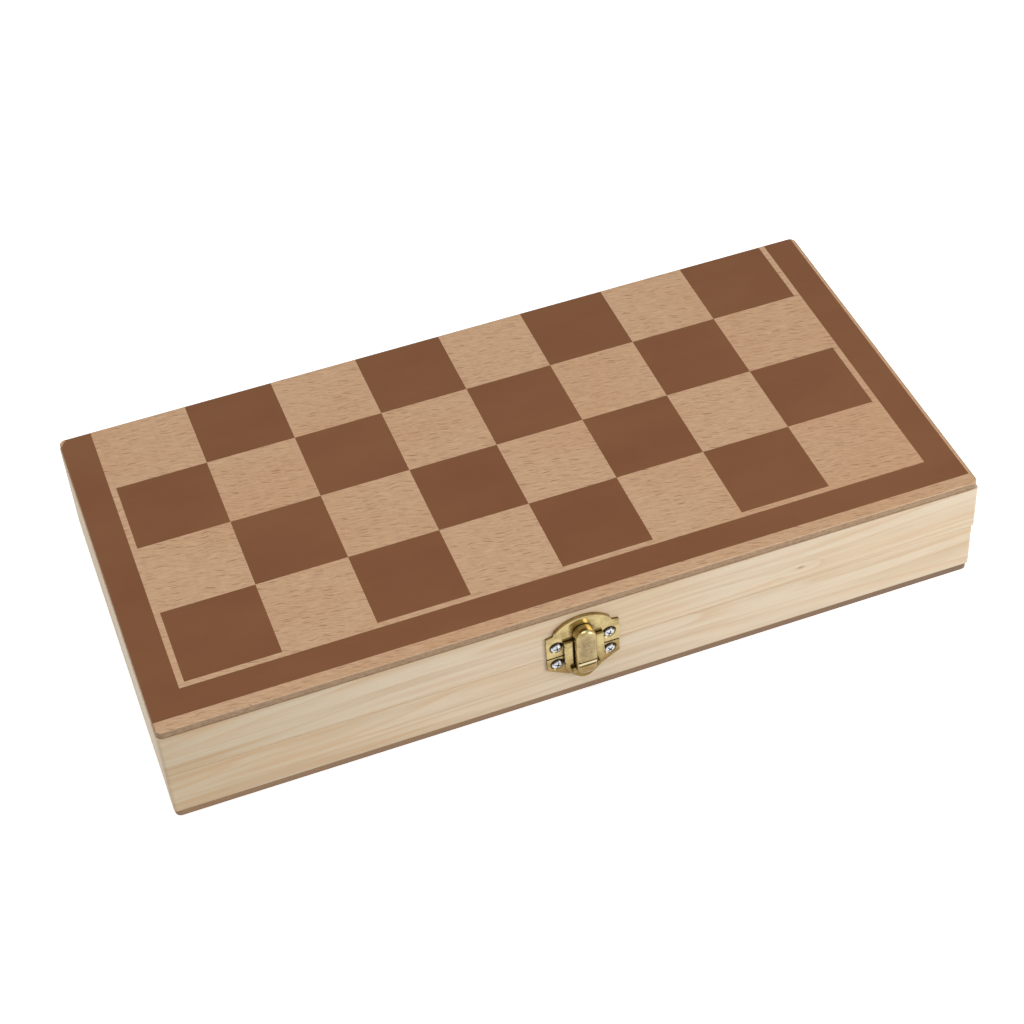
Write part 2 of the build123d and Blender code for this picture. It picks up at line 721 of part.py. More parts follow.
def build():
    hinge_places = {"left": -hinge_spacing / 2, "right": hinge_spacing / 2}
    lid_length = box_length + lid_overhang
    lid_centre = lid_overhang / 2

    save("lower_core", panel(box_length, 0, skin_thickness, core_thickness))
    save("lower_board_face", skin(box_length, 0))
    save("upper_core", flip_up(panel(lid_length, lid_centre, skin_thickness, core_thickness)))
    save("upper_board_face", flip_up(skin(lid_length, lid_centre)))

    lower = rails(box_length, 0)
    upper = rails(lid_length, lid_centre)
    for centre_x in hinge_places.values():
        lower["back_rail"] -= hinge_mortise(centre_x)
        upper["back_rail"] -= hinge_mortise(centre_x)
    for across, up in clasp_screw_places(-base_screw_down):
        lower["front_rail"] -= on_box(pilot_bore(across, up))
    for across, up in clasp_screw_places(-keeper_screw_up):
        upper["front_rail"] -= on_box(pilot_bore(across, up))
    for name, rail in lower.items():
        save(f"lower_{name}", single(rail))
    for name, rail in upper.items():
        save(f"upper_{name}", flip_up(single(rail)))

    screws = []
    for side, centre_x in hinge_places.items():
        save(f"{side}_hinge_lower_leaf", lower_leaf(centre_x, 0))
        save(f"{side}_hinge_upper_leaf", flip_up(lower_leaf(centre_x, 1)))
        save(f"{side}_hinge_pin", hinge_pin(centre_x))
        screws += [crossed_hinge_screw(x, y) for x, y in hinge_screw_places(centre_x)]
    save("lower_hinge_screws", Compound(children=screws))
    save("upper_hinge_screws", Compound(children=[flip_up(screw) for screw in screws]))

    save("keeper_plate", on_box(keeper_plate()))
    save("latch_base_plate", on_box(latch_base_plate()))
    save("latch_yoke", on_box(latch_yoke()))
    save("latch_lever", on_box(latch_lever()))
    save("latch_pin", on_box(latch_pin()))
    for node, up in (("keeper_screws", keeper_screw_up), ("latch_base_screws", -base_screw_down)):
        pair = [on_box(single(clasp_screw(x, y))) for x, y in clasp_screw_places(up)]
        save(node, Compound(children=pair))

    for (colour, kind), group in place_men().items():
        plural = kind if len(group) == 1 else kind + "s"
        save(f"{colour}_{plural}", group[0] if len(group) == 1 else Compound(children=group))


build()
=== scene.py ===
import bpy, bmesh
from math import pi, radians
from mathutils import Matrix, Vector

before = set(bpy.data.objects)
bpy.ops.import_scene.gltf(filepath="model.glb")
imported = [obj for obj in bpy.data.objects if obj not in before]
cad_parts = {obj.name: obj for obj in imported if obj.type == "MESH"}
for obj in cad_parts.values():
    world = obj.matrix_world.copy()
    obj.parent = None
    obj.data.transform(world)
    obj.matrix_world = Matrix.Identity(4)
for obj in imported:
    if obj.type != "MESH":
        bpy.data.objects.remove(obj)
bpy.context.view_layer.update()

# Folding chess set: printed board panels on pine rails, brass clasp and hinges, turned chessmen.
# Metres. +X along the box, -Y the clasp, +Y the hinges, +Z up.

mm = 0.001
print("frame loaded", len(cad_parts), "nodes")


# Node helpers

def addNode(tree, kind, settings=None, inputs=None):
    made = tree.nodes.new("ShaderNode" + kind)
    for name, value in (settings or {}).items():
        setattr(made, name, value)
    for key, value in (inputs or {}).items():
        if isinstance(value, bpy.types.NodeSocket):
            tree.links.new(value, made.inputs[key])
        else:
            made.inputs[key].default_value = value
    return made


def sums(tree, operation, first, second=None, clamp=False):
    values = {i: v for i, v in enumerate((first, second)) if v is not None}
    return addNode(tree, "Math", {"operation": operation, "use_clamp": clamp}, values).outputs[0]


def product(tree, first, *rest):
    for value in rest:
        first = sums(tree, "MULTIPLY", first, value)
    return first


def axes(tree, vector):
    return addNode(tree, "SeparateXYZ", inputs={0: vector}).outputs


def joined(tree, x, y, z=0.0):
    return addNode(tree, "CombineXYZ", inputs={0: x, 1: y, 2: z}).outputs[0]


def moved(tree, vector, step, operation="ADD"):
    return addNode(tree, "VectorMath", {"operation": operation}, {0: vector, 1: step}).outputs[0]


def lengthOf(tree, vector):
    return addNode(tree, "VectorMath", {"operation": "LENGTH"}, {0: vector}).outputs["Value"]


def blendColour(tree, factor, first, second, way="MIX"):
    made = addNode(tree, "Mix", {"data_type": "RGBA", "blend_type": way, "clamp_factor": True},
                   {0: factor, 6: first, 7: second})
    return made.outputs[2]


def between(tree, value, low, high, outLow=0.0, outHigh=1.0):
    made = addNode(tree, "MapRange", {"clamp": True},
                   {"Value": value, "From Min": low, "From Max": high, "To Min": outLow, "To Max": outHigh})
    return made.outputs["Result"]


def noiseAt(tree, vector, scale, detail=2.0, roughness=0.5):
    made = addNode(tree, "TexNoise", {"noise_dimensions": "3D"},
                   {"Vector": vector, "Scale": scale, "Detail": detail, "Roughness": roughness})
    return made.outputs["Fac"]


def placed(tree, vector, move=(0, 0, 0), turn=(0, 0, 0), scale=(1, 1, 1)):
    made = addNode(tree, "Mapping", {"vector_type": "POINT"},
                   {"Vector": vector, "Location": move, "Rotation": turn, "Scale": scale})
    return made.outputs["Vector"]


# A colour on the 0 to 255 scale, in linear light
def srgb(red, green, blue):
    parts = []
    for value in (red, green, blue):
        share = value / 255
        parts.append(share / 12.92 if share <= 0.04045 else ((share + 0.055) / 1.055) ** 2.4)
    return (*parts, 1.0)


def newGroup(name, inputs, outputs):
    tree = bpy.data.node_groups.new(name, "ShaderNodeTree")
    for label, kind, value in inputs:
        socket = tree.interface.new_socket(label, in_out="INPUT", socket_type="NodeSocket" + kind)
        if value is not None:
            socket.default_value = value
    for label, kind in outputs:
        tree.interface.new_socket(label, in_out="OUTPUT", socket_type="NodeSocket" + kind)
    return tree, tree.nodes.new("NodeGroupInput").outputs, tree.nodes.new("NodeGroupOutput").inputs


def useGroup(tree, group, inputs):
    return addNode(tree, "Group", {"node_tree": group}, inputs).outputs


# Shared effects. A wood's grain runs along the first axis of the vector that it is given.

growth = {
    "driftScale": 9.0, "hillShare": 0.3, "lateRise": (0.45, 0.92), "lateFall": (0.92, 1.0),
    "fibreStretch": 0.03, "fibreScale": 2600.0, "patchStretch": (0.4, 1, 1), "patchScale": 30.0,
}


def makeGrowthGroup():
    tree, given, out = newGroup(
        "growthRings",
        [("Vector", "Vector", None), ("Ring Scale", "Float", 240.0), ("Stretch", "Float", 0.03),
         ("Waver", "Float", 0.004), ("Ring Count", "Float", 9.0), ("Swell", "Float", 0.0),
         ("Seed", "Float", 0.0)],
        [("Rings", "Float"), ("Lines", "Float"), ("Fibre", "Float"), ("Patches", "Float")])
    here = moved(tree, given["Vector"], joined(tree, given["Seed"], given["Seed"], given["Seed"]))
    x, y, z = axes(tree, here)
    drift = noiseAt(tree, here, growth["driftScale"], 1.0)
    sway = product(tree, sums(tree, "SUBTRACT", drift, 0.5), given["Waver"])
    ringAt = joined(tree, product(tree, x, given["Stretch"]),
                    sums(tree, "ADD", y, sway), sums(tree, "ADD", z, sway))
    rings = noiseAt(tree, ringAt, given["Ring Scale"], 2.0, 0.45)
    hills = noiseAt(tree, ringAt, product(tree, given["Ring Scale"], growth["hillShare"]), 1.0, 0.4)
    hills = sums(tree, "ADD", hills, given["Swell"])
    year = sums(tree, "FRACT", product(tree, hills, given["Ring Count"]))
    late = product(tree, between(tree, year, *growth["lateRise"]),
                   between(tree, year, *growth["lateFall"], 1.0, 0.0))
    fibreAt = joined(tree, product(tree, x, growth["fibreStretch"]), y, z)
    fibre = noiseAt(tree, fibreAt, growth["fibreScale"], 3.0, 0.6)
    patches = noiseAt(tree, placed(tree, here, scale=growth["patchStretch"]), growth["patchScale"], 2.0)
    tree.links.new(between(tree, rings, 0.3, 0.7), out["Rings"])
    tree.links.new(product(tree, late, between(tree, patches, 0.3, 0.6, 0.35, 1.0)), out["Lines"])
    tree.links.new(fibre, out["Fibre"])
    tree.links.new(patches, out["Patches"])
    return tree


# Cells and dashes are given as a length and a width
beechMarks = {
    "largeCell": (5.2 * mm, 1.9 * mm), "largeDash": (4.4 * mm, 0.27 * mm),
    "smallCell": (2.4 * mm, 0.8 * mm), "smallDash": (2.2 * mm, 0.2 * mm),
    "smallMove": (0.3, 0.7, 0), "smallWeight": 0.5, "dashEdge": (0.28, 0.5),
    "swayScale": 90.0, "sway": 4 * mm, "poreStretch": (0.08, 1, 1), "poreScale": 2000.0,
    "mottleStretch": (0.5, 1, 1), "mottleScale": 38.0,
}


# Beech shows short dark dashes, all lying one way, each in its own cell of a stretched pattern
def dashes(tree, vector, cell, dash):
    flat = placed(tree, vector, scale=(1 / cell[0], 1 / cell[1], 0))
    near = addNode(tree, "TexVoronoi", {"voronoi_dimensions": "2D"}, {"Vector": flat, "Scale": 1.0}).outputs
    away = moved(tree, flat, near["Position"], "SUBTRACT")
    oval = placed(tree, away, scale=(cell[0] / dash[0], cell[1] / dash[1], 0))
    reach = lengthOf(tree, oval)
    tint = addNode(tree, "SeparateColor", inputs={0: near["Color"]}).outputs[0]
    weight = between(tree, tint, 0.25, 1, 0, 1)
    return product(tree, between(tree, reach, *beechMarks["dashEdge"], 1, 0), weight)


def makeFleckGroup():
    tree, given, out = newGroup(
        "rayFlecks",
        [("Vector", "Vector", None), ("Seed", "Float", 0.0), ("Lean", "Float", 0.19)],
        [("Flecks", "Float"), ("Pores", "Float"), ("Mottle", "Float")])
    here = moved(tree, given["Vector"], joined(tree, given["Seed"], given["Seed"]))
    drift = noiseAt(tree, here, beechMarks["swayScale"], 2.0)
    sway = product(tree, sums(tree, "SUBTRACT", drift, 0.5), beechMarks["sway"])
    x, y, z = axes(tree, here)
    slope = sums(tree, "ADD", sway, product(tree, x, given["Lean"]))
    bent = joined(tree, x, sums(tree, "ADD", y, slope))
    large = dashes(tree, bent, beechMarks["largeCell"], beechMarks["largeDash"])
    small = dashes(tree, placed(tree, bent, move=beechMarks["smallMove"]),
                   beechMarks["smallCell"], beechMarks["smallDash"])
    flecks = sums(tree, "MAXIMUM", large, product(tree, small, beechMarks["smallWeight"]))
    poresAt = placed(tree, bent, scale=beechMarks["poreStretch"])
    mottleAt = placed(tree, here, scale=beechMarks["mottleStretch"])
    tree.links.new(flecks, out["Flecks"])
    tree.links.new(noiseAt(tree, poresAt, beechMarks["poreScale"], 4.0, 0.7), out["Pores"])
    tree.links.new(noiseAt(tree, mottleAt, beechMarks["mottleScale"], 3.0), out["Mottle"])
    return tree


# The bounds are in squares, counted from the middle of the hinge edge
inkEdge = {
    "outerSquare": 4.013, "bandInner": 4.08, "bandOuter": 4.422, "bandOuterLeft": 4.435,
    "wobbleScale": 900.0, "wobble": 0.12 * mm,
}


# Where the dark ink lies: the squares of a half board, and a band round three of its sides
def makePrintGroup():
    tree, given, out = newGroup(
        "boardPrint",
        [("Vector", "Vector", None), ("Square", "Float", 32.6 * mm), ("Hinge Edge", "Float", 74.5 * mm),
         ("Parity", "Float", 1.0), ("Outer Square", "Float", inkEdge["outerSquare"]),
         ("Band Inner", "Float", inkEdge["bandInner"]), ("Band Outer", "Float", inkEdge["bandOuter"]),
         ("Band Outer Left", "Float", inkEdge["bandOuterLeft"])],
        [("Ink", "Float")])
    wobble = noiseAt(tree, given["Vector"], inkEdge["wobbleScale"], 2.0)
    shake = product(tree, sums(tree, "SUBTRACT", wobble, 0.5), inkEdge["wobble"])
    x, y, z = axes(tree, given["Vector"])
    across = sums(tree, "DIVIDE", sums(tree, "ADD", x, shake), given["Square"])
    back = sums(tree, "SUBTRACT", given["Hinge Edge"], sums(tree, "ADD", y, shake))
    down = sums(tree, "DIVIDE", back, given["Square"])
    wide = sums(tree, "ABSOLUTE", across)

    def inside(wideLimit, downLimit):
        return product(tree, sums(tree, "LESS_THAN", wide, wideLimit),
                       sums(tree, "LESS_THAN", down, downLimit))

    # The number of the square at a place, held just under the last limit
    def squareAt(place, limit):
        held = sums(tree, "MINIMUM", sums(tree, "MAXIMUM", place, 0.0), limit - 0.01)
        return sums(tree, "FLOOR", held)

    column = squareAt(sums(tree, "ADD", across, 4.0), 8)
    row = squareAt(down, 4)
    odd = sums(tree, "MODULO", sums(tree, "ADD", sums(tree, "ADD", column, row), given["Parity"]), 2.0)
    squares = product(tree, sums(tree, "LESS_THAN", odd, 0.5),
                      inside(given["Outer Square"], given["Outer Square"]))
    onLeft = sums(tree, "LESS_THAN", across, 0.0)
    more = sums(tree, "SUBTRACT", given["Band Outer Left"], given["Band Outer"])
    reach = sums(tree, "ADD", given["Band Outer"], product(tree, onLeft, more))
    outer = inside(reach, given["Band Outer"])
    inner = inside(given["Band Inner"], given["Band Inner"])
    band = sums(tree, "SUBTRACT", outer, inner, clamp=True)
    tree.links.new(sums(tree, "MAXIMUM", squares, band), out["Ink"])
    return tree


plateMarks = {
    "cloudScale": 240.0, "cloud": (0.45, 0.7), "cloudWeight": 0.75,
    "rubScale": 900.0, "rubTurn": (0, radians(25), 0), "rubStretch": (1, 1, 12),
}


# Bright plating: a slight unevenness, fine rub marks and a little tarnish
def makePlateGroup():
    tree, given, out = newGroup(
        "platedMetal",
        [("Vector", "Vector", None), ("Colour", "Color", (1, 1, 1, 1)), ("Tarnish", "Color", (1, 1, 1, 1)),
         ("Roughness", "Float", 0.2)],
        [("Colour", "Color"), ("Roughness", "Float"), ("Height", "Float")])
    cloud = noiseAt(tree, given["Vector"], plateMarks["cloudScale"], 4.0, 0.6)
    rubsAt = placed(tree, given["Vector"], turn=plateMarks["rubTurn"], scale=plateMarks["rubStretch"])
    rubs = noiseAt(tree, rubsAt, plateMarks["rubScale"], 2.0)
    tarnished = between(tree, cloud, *plateMarks["cloud"], 0.0, plateMarks["cloudWeight"])
    tree.links.new(blendColour(tree, tarnished, given["Colour"], given["Tarnish"]), out["Colour"])
    rough = sums(tree, "ADD", given["Roughness"], between(tree, rubs, 0.35, 0.75, -0.05, 0.14))
    tree.links.new(sums(tree, "ADD", rough, between(tree, cloud, 0.5, 0.8, 0.0, 0.1)), out["Roughness"])
    height = sums(tree, "ADD", product(tree, cloud, 0.7), product(tree, rubs, 0.3))
    tree.links.new(height, out["Height"])
    return tree


growthRings = makeGrowthGroup()
rayFlecks = makeFleckGroup()
boardPrint = makePrintGroup()
platedMetal = makePlateGroup()
print("shared effects made")


# Materials

def startMaterial(name):
    material = bpy.data.materials.new(name)
    material.use_nodes = True
    tree = material.node_tree
    tree.nodes.clear()
    shader = tree.nodes.new("ShaderNodeBsdfPrincipled")
    end = tree.nodes.new("ShaderNodeOutputMaterial")
    tree.links.new(shader.outputs[0], end.inputs[0])
    where = tree.nodes.new("ShaderNodeTexCoord").outputs["Object"]
    return material, tree, shader, where


# Relief is the bump's depth in metres and its strength
def roughen(tree, shader, height, relief):
    depth, strength = relief
    bump = addNode(tree, "Bump", inputs={"Height": height, "Distance": depth, "Strength": strength})
    tree.links.new(bump.outputs[0], shader.inputs["Normal"])


# Left, right, back and top are where the printed faces end, with the box shut
board = {
    "square": 32.6 * mm, "hingeEdge": 74.5 * mm,
    "left": -144.7 * mm, "right": 145.4 * mm, "back": 74.45 * mm, "top": 42 * mm,
    "chip": 4.4 * mm, "chipScale": 1500.0, "rimReach": (0.2 * mm, 0.45 * mm), "rimShadeWeight": 0.65,
    "skin": (0.12 * mm, 0.2 * mm), "relief": (0.03 * mm, 0.6), "specular": 0.12,
    "ink": srgb(123, 79, 50), "inkWorn": srgb(129, 86, 56), "beech": srgb(207, 168, 132),
    "beechWarm": srgb(206, 163, 126), "beechPale": srgb(211, 178, 143), "fleck": srgb(116, 70, 42),
    "rim": srgb(126, 92, 68), "poreWeight": 0.36, "fleckWeight": 0.95, "beechWeight": 0.6,
}


# Beech, then the ink on it, then the worn corner, then painted shade along the rim, then the bare edge of the
# veneer
def makeBoardMaterial(name, parity, seed, edgeColour):
    material, tree, shader, where = startMaterial(name)
    flecks = useGroup(tree, rayFlecks, {"Vector": where, "Seed": seed})
    ink = useGroup(tree, boardPrint, {
        "Vector": where, "Square": board["square"], "Hinge Edge": board["hingeEdge"],
        "Parity": parity})["Ink"]
    x, y, z = axes(tree, where)
    mottled = between(tree, flecks["Mottle"], 0.42, 0.66)
    wood = blendColour(tree, mottled, board["beechPale"], board["beechWarm"])
    wood = blendColour(tree, board["beechWeight"], wood, board["beech"])
    pored = between(tree, flecks["Pores"], 0.38, 0.68, 0.0, board["poreWeight"])
    wood = blendColour(tree, pored, wood, board["fleck"])
    wood = blendColour(tree, product(tree, flecks["Flecks"], board["fleckWeight"]), wood, board["fleck"])
    stain = blendColour(tree, between(tree, flecks["Mottle"], 0.35, 0.7), board["ink"], board["inkWorn"])
    deepened = between(tree, flecks["Pores"], 0.5, 0.8, 0.0, 0.1)
    stain = blendColour(tree, deepened, stain, board["ink"], "MULTIPLY")
    fromLeft = sums(tree, "SUBTRACT", x, board["left"])
    fromRight = sums(tree, "SUBTRACT", board["right"], x)
    fromBack = sums(tree, "SUBTRACT", board["back"], y)
    ragged = product(tree, noiseAt(tree, where, board["chipScale"], 3.0), board["chip"])
    worn = sums(tree, "LESS_THAN", sums(tree, "ADD", fromLeft, product(tree, fromBack, 0.5)), ragged)
    inked = product(tree, ink, sums(tree, "SUBTRACT", 1.0, worn))
    colour = blendColour(tree, inked, wood, stain)
    # Painted shade in a thin line along the edges of the printed face
    rim = sums(tree, "MINIMUM", fromBack, sums(tree, "MINIMUM", fromLeft, fromRight))
    rimShade = between(tree, rim, *board["rimReach"], board["rimShadeWeight"], 0.0)
    colour = blendColour(tree, rimShade, colour, board["rim"])
    deep = sums(tree, "MINIMUM", z, sums(tree, "SUBTRACT", board["top"], z))
    colour = blendColour(tree, between(tree, deep, *board["skin"]), colour, edgeColour)
    tree.links.new(colour, shader.inputs["Base Color"])
    shader.inputs["Specular IOR Level"].default_value = board["specular"]
    tree.links.new(between(tree, flecks["Pores"], 0.3, 0.8, 0.46, 0.6), shader.inputs["Roughness"])
    low = product(tree, flecks["Flecks"], sums(tree, "SUBTRACT", 1.0, ink))
    height = sums(tree, "SUBTRACT", product(tree, flecks["Pores"], 0.4), low)
    height = sums(tree, "ADD", height, product(tree, ink, 0.6))
    roughen(tree, shader, height, board["relief"])
    return material


# The front rails get darker towards their left end, as painted shade, and more figured there, over endReach
pine = {
    "pale": srgb(221, 204, 179), "late": srgb(194, 166, 131), "warm": srgb(216, 188, 153),
    "fibre": srgb(182, 150, 114), "line": srgb(202, 160, 116), "end": srgb(207, 190, 162),
    "endReach": (-140 * mm, -50 * mm), "ringWeight": 0.42, "ringGain": 0.5,
    "knot": srgb(150, 112, 76), "knotReach": 3.4 * mm, "knotCore": (0.2 * mm, 0.7 * mm),
    "knotStretch": (0.35, 0.35, 1.0), "knotSwell": 0.09, "relief": (0.05 * mm, 0.6), "specular": 0.3,
}


def makePineMaterial(name, turn, seed, knot, endWeight):
    material, tree, shader, where = startMaterial(name)
    along = placed(tree, where, turn=turn)
    fromKnot = placed(tree, where, move=tuple(-place for place in knot))
    apart = lengthOf(tree, placed(tree, fromKnot, scale=pine["knotStretch"]))
    grain = useGroup(tree, growthRings, {
        "Vector": along, "Ring Scale": 250.0, "Stretch": 0.035, "Waver": 0.006, "Ring Count": 11.0,
        "Swell": between(tree, apart, 0, pine["knotReach"], pine["knotSwell"], 0.0), "Seed": seed})
    # Towards the left end: painted shade on the base colour, and stronger rings
    nearEnd = between(tree, axes(tree, where)[0], *pine["endReach"], endWeight, 0.0)
    base = blendColour(tree, nearEnd, pine["pale"], pine["end"])
    ringWeight = sums(tree, "ADD", pine["ringWeight"], product(tree, nearEnd, pine["ringGain"]))
    rings = product(tree, between(tree, grain["Rings"], 0.45, 1.0), ringWeight)
    colour = blendColour(tree, rings, base, pine["late"])
    colour = blendColour(tree, product(tree, grain["Lines"], 0.5), colour, pine["line"])
    colour = blendColour(tree, between(tree, grain["Patches"], 0.45, 0.7, 0.0, 0.5), colour, pine["warm"])
    colour = blendColour(tree, between(tree, grain["Fibre"], 0.5, 0.8, 0.0, 0.3), colour, pine["fibre"])
    colour = blendColour(tree, between(tree, apart, *pine["knotCore"], 0.6, 0.0), colour, pine["knot"])
    tree.links.new(colour, shader.inputs["Base Color"])
    tree.links.new(between(tree, grain["Fibre"], 0.3, 0.8, 0.5, 0.64), shader.inputs["Roughness"])
    shader.inputs["Specular IOR Level"].default_value = pine["specular"]
    height = sums(tree, "ADD", grain["Fibre"], product(tree, grain["Lines"], 0.4))
    roughen(tree, shader, height, pine["relief"])
    return material


# Each joint is the height and weight of a dark glue line, deepened with painted shade where core and rail
# meet. The edge is browner lower down, with a colour for each end.
core = {
    "edge": srgb(176, 147, 117), "edgeDark": srgb(134, 108, 84), "face": srgb(214, 186, 152),
    "inner": (137.5 * mm, 67.0 * mm), "ends": (-145 * mm, 145 * mm),
    "edgeLow": (srgb(158, 127, 98), srgb(124, 103, 86)), "lowReach": (3.0 * mm, 39.0 * mm), "lowWeight": 0.85,
    "joints": ((3.0 * mm, 0.85), (39.0 * mm, 0.4)), "glueAndShade": srgb(92, 70, 52),
    "jointReach": (0.2 * mm, 0.55 * mm), "relief": (0.08 * mm, 0.6), "roughness": 0.75, "specular": 0.3,
}


# Sawn brown edge outside, a plain pale face inside the tray
def makeCoreMaterial():
    material, tree, shader, where = startMaterial("coreBoard")
    grain = useGroup(tree, growthRings, {"Vector": where, "Ring Scale": 420.0, "Stretch": 0.05, "Seed": 2.7})
    speck = noiseAt(tree, placed(tree, where, scale=(0.35, 0.35, 1.0)), 2400.0, 3.0, 0.7)
    edge = blendColour(tree, between(tree, speck, 0.38, 0.72), core["edge"], core["edgeDark"])
    face = blendColour(tree, between(tree, grain["Rings"], 0.3, 0.9, 0.0, 0.28), core["face"], core["edge"])
    x, y, z = axes(tree, where)
    inX = sums(tree, "LESS_THAN", sums(tree, "ABSOLUTE", x), core["inner"][0])
    inY = sums(tree, "LESS_THAN", sums(tree, "ABSOLUTE", y), core["inner"][1])
    low = between(tree, z, *core["lowReach"], core["lowWeight"], 0.0)
    lowEdge = blendColour(tree, between(tree, x, *core["ends"]), *core["edgeLow"])
    edge = blendColour(tree, low, edge, lowEdge)
    # A glue line at each joint, darkened further as painted shade
    for height, weight in core["joints"]:
        away = sums(tree, "ABSOLUTE", sums(tree, "SUBTRACT", z, height))
        edge = blendColour(tree, between(tree, away, *core["jointReach"], weight, 0.0), edge, core["glueAndShade"])
    tree.links.new(blendColour(tree, product(tree, inX, inY), edge, face), shader.inputs["Base Color"])
    shader.inputs["Roughness"].default_value = core["roughness"]
    shader.inputs["Specular IOR Level"].default_value = core["specular"]
    roughen(tree, shader, speck, core["relief"])
    return material


# The first colour is grime and painted shade together: crevices found by ambient occlusion, the lever's
# crease and the rings above the screws
plating = {
    "grimeAndShade": srgb(52, 38, 18), "occlusionReach": 1.5 * mm, "occlusionFrom": (0.3, 0.92), "occlusionWeight": 0.78,
    "lowReach": (13 * mm, 23 * mm), "lowWeight": 0.9, "lowBrown": srgb(124, 98, 54),
    "relief": (0.06 * mm, 0.5),
}


# The clasp is browner towards its foot
def addBrownerLow(tree, where, colour):
    up = axes(tree, where)[2]
    weight = between(tree, up, *plating["lowReach"], plating["lowWeight"], 0.0)
    return blendColour(tree, weight, colour, plating["lowBrown"])


lever = {
    "centre": (-1.0 * mm, 0, 25.9 * mm), "reach": (4.3 * mm, 8.0 * mm), "face": -79.6 * mm,
    "dull": srgb(126, 110, 86), "dullWeight": 0.85, "smearScale": 700.0, "front": -79.0 * mm,
    "crease": (18.7 * mm, 19.85 * mm), "creaseHalf": 3.2 * mm, "creaseBack": -79.9 * mm,
    "foot": 17.62 * mm, "footReach": (0.1 * mm, 0.32 * mm), "creaseShadeWeight": 0.95,
    "facet": 18.05 * mm, "highlightWeight": 0.6, "facetHighlight": srgb(232, 222, 186),
}


# The lever's face is duller in an oval, and its crease has painted shade above and below a painted highlight
# on its facet
def addLeverDullingAndCreaseLight(tree, where, colour):
    colour = addBrownerLow(tree, where, colour)
    near = placed(tree, where, move=(-lever["centre"][0], 0, -lever["centre"][2]))
    oval = placed(tree, near, scale=(1 / lever["reach"][0], 0, 1 / lever["reach"][1]))
    x, y, z = axes(tree, where)
    wide = sums(tree, "ABSOLUTE", axes(tree, near)[0])

    def heightIn(low, high):
        return product(tree, sums(tree, "GREATER_THAN", z, low), sums(tree, "LESS_THAN", z, high))

    onFace = sums(tree, "LESS_THAN", y, lever["face"])
    smear = between(tree, noiseAt(tree, where, lever["smearScale"], 3.0), 0.35, 0.65, 0.45, 1.0)
    dulled = between(tree, lengthOf(tree, oval), 0.5, 1.0, lever["dullWeight"], 0.0)
    colour = blendColour(tree, product(tree, dulled, smear, onFace), colour, lever["dull"])
    onLip = product(tree, sums(tree, "LESS_THAN", wide, lever["creaseHalf"]),
                    sums(tree, "LESS_THAN", y, lever["front"]))
    # Painted highlight on the crease's facet
    facet = product(tree, heightIn(lever["facet"], lever["crease"][0]), onLip)
    colour = blendColour(tree, product(tree, facet, lever["highlightWeight"]), colour, lever["facetHighlight"])
    # Painted shade in the crease and along the facet's foot
    inCrease = product(tree, heightIn(*lever["crease"]), sums(tree, "GREATER_THAN", y, lever["creaseBack"]))
    foot = sums(tree, "ABSOLUTE", sums(tree, "SUBTRACT", z, lever["foot"]))
    creaseShade = sums(tree, "MAXIMUM", inCrease, between(tree, foot, *lever["footReach"], 1.0, 0.0))
    creaseShade = product(tree, creaseShade, onLip, lever["creaseShadeWeight"])
    return blendColour(tree, creaseShade, colour, plating["grimeAndShade"])


# The screws stand in pairs, across from the middle. Inside and outside bound the shaded ring.
dimple = {
    "middle": -1.0 * mm, "across": 9.4 * mm, "heights": (17.6 * mm, 25.6 * mm),
    "inside": (1.35 * mm, 1.65 * mm), "outside": (2.5 * mm, 2.9 * mm), "slope": (0.1 * mm, 0.9 * mm),
    "weight": 0.95,
}


# Shade above each clasp screw, as in the dimple that such a screw sits in
def addDimples(tree, where, colour):
    x, y, z = axes(tree, where)
    fromMiddle = sums(tree, "ABSOLUTE", sums(tree, "SUBTRACT", x, dimple["middle"]))
    aside = sums(tree, "SUBTRACT", fromMiddle, dimple["across"])
    for height in dimple["heights"]:
        over = sums(tree, "SUBTRACT", z, height)
        away = lengthOf(tree, joined(tree, aside, over))
        ring = product(tree, between(tree, away, *dimple["inside"]),
                       between(tree, away, *dimple["outside"], 1.0, 0.0))
        shade = product(tree, ring, between(tree, over, *dimple["slope"], 0.0, dimple["weight"]))
        colour = blendColour(tree, shade, colour, plating["grimeAndShade"])
    return colour


def addPlateMarks(tree, where, colour):
    return addDimples(tree, where, addBrownerLow(tree, where, colour))


# Extra is a function that lays more marks over the plating
def makePlatedMaterial(name, colour, tarnish, roughness, extra=None):
    material, tree, shader, where = startMaterial(name)
    plate = useGroup(tree, platedMetal, {
        "Vector": where, "Colour": colour, "Tarnish": tarnish, "Roughness": roughness})
    # Ambient occlusion darkens crevices with grime and painted shade, and roughens them
    corners = addNode(tree, "AmbientOcclusion", {"samples": 8}, {"Distance": plating["occlusionReach"]})
    grimeAndShade = between(tree, corners.outputs["AO"], *plating["occlusionFrom"], plating["occlusionWeight"], 0.0)
    colour = blendColour(tree, grimeAndShade, plate["Colour"], plating["grimeAndShade"])
    if extra:
        colour = extra(tree, where, colour)
    tree.links.new(colour, shader.inputs["Base Color"])
    rough = sums(tree, "ADD", plate["Roughness"], product(tree, grimeAndShade, 0.3))
    tree.links.new(rough, shader.inputs["Roughness"])
    shader.inputs["Metallic"].default_value = 1.0
    roughen(tree, shader, plate["Height"], plating["relief"])
    return material


maple = {
    "ringScale": 520.0, "stretch": 0.08, "waver": 0.004, "ringWeight": 0.6, "fibreWeight": 0.3,
    "coat": 0.25, "coatRoughness": 0.2, "relief": (0.04 * mm, 0.4),
}


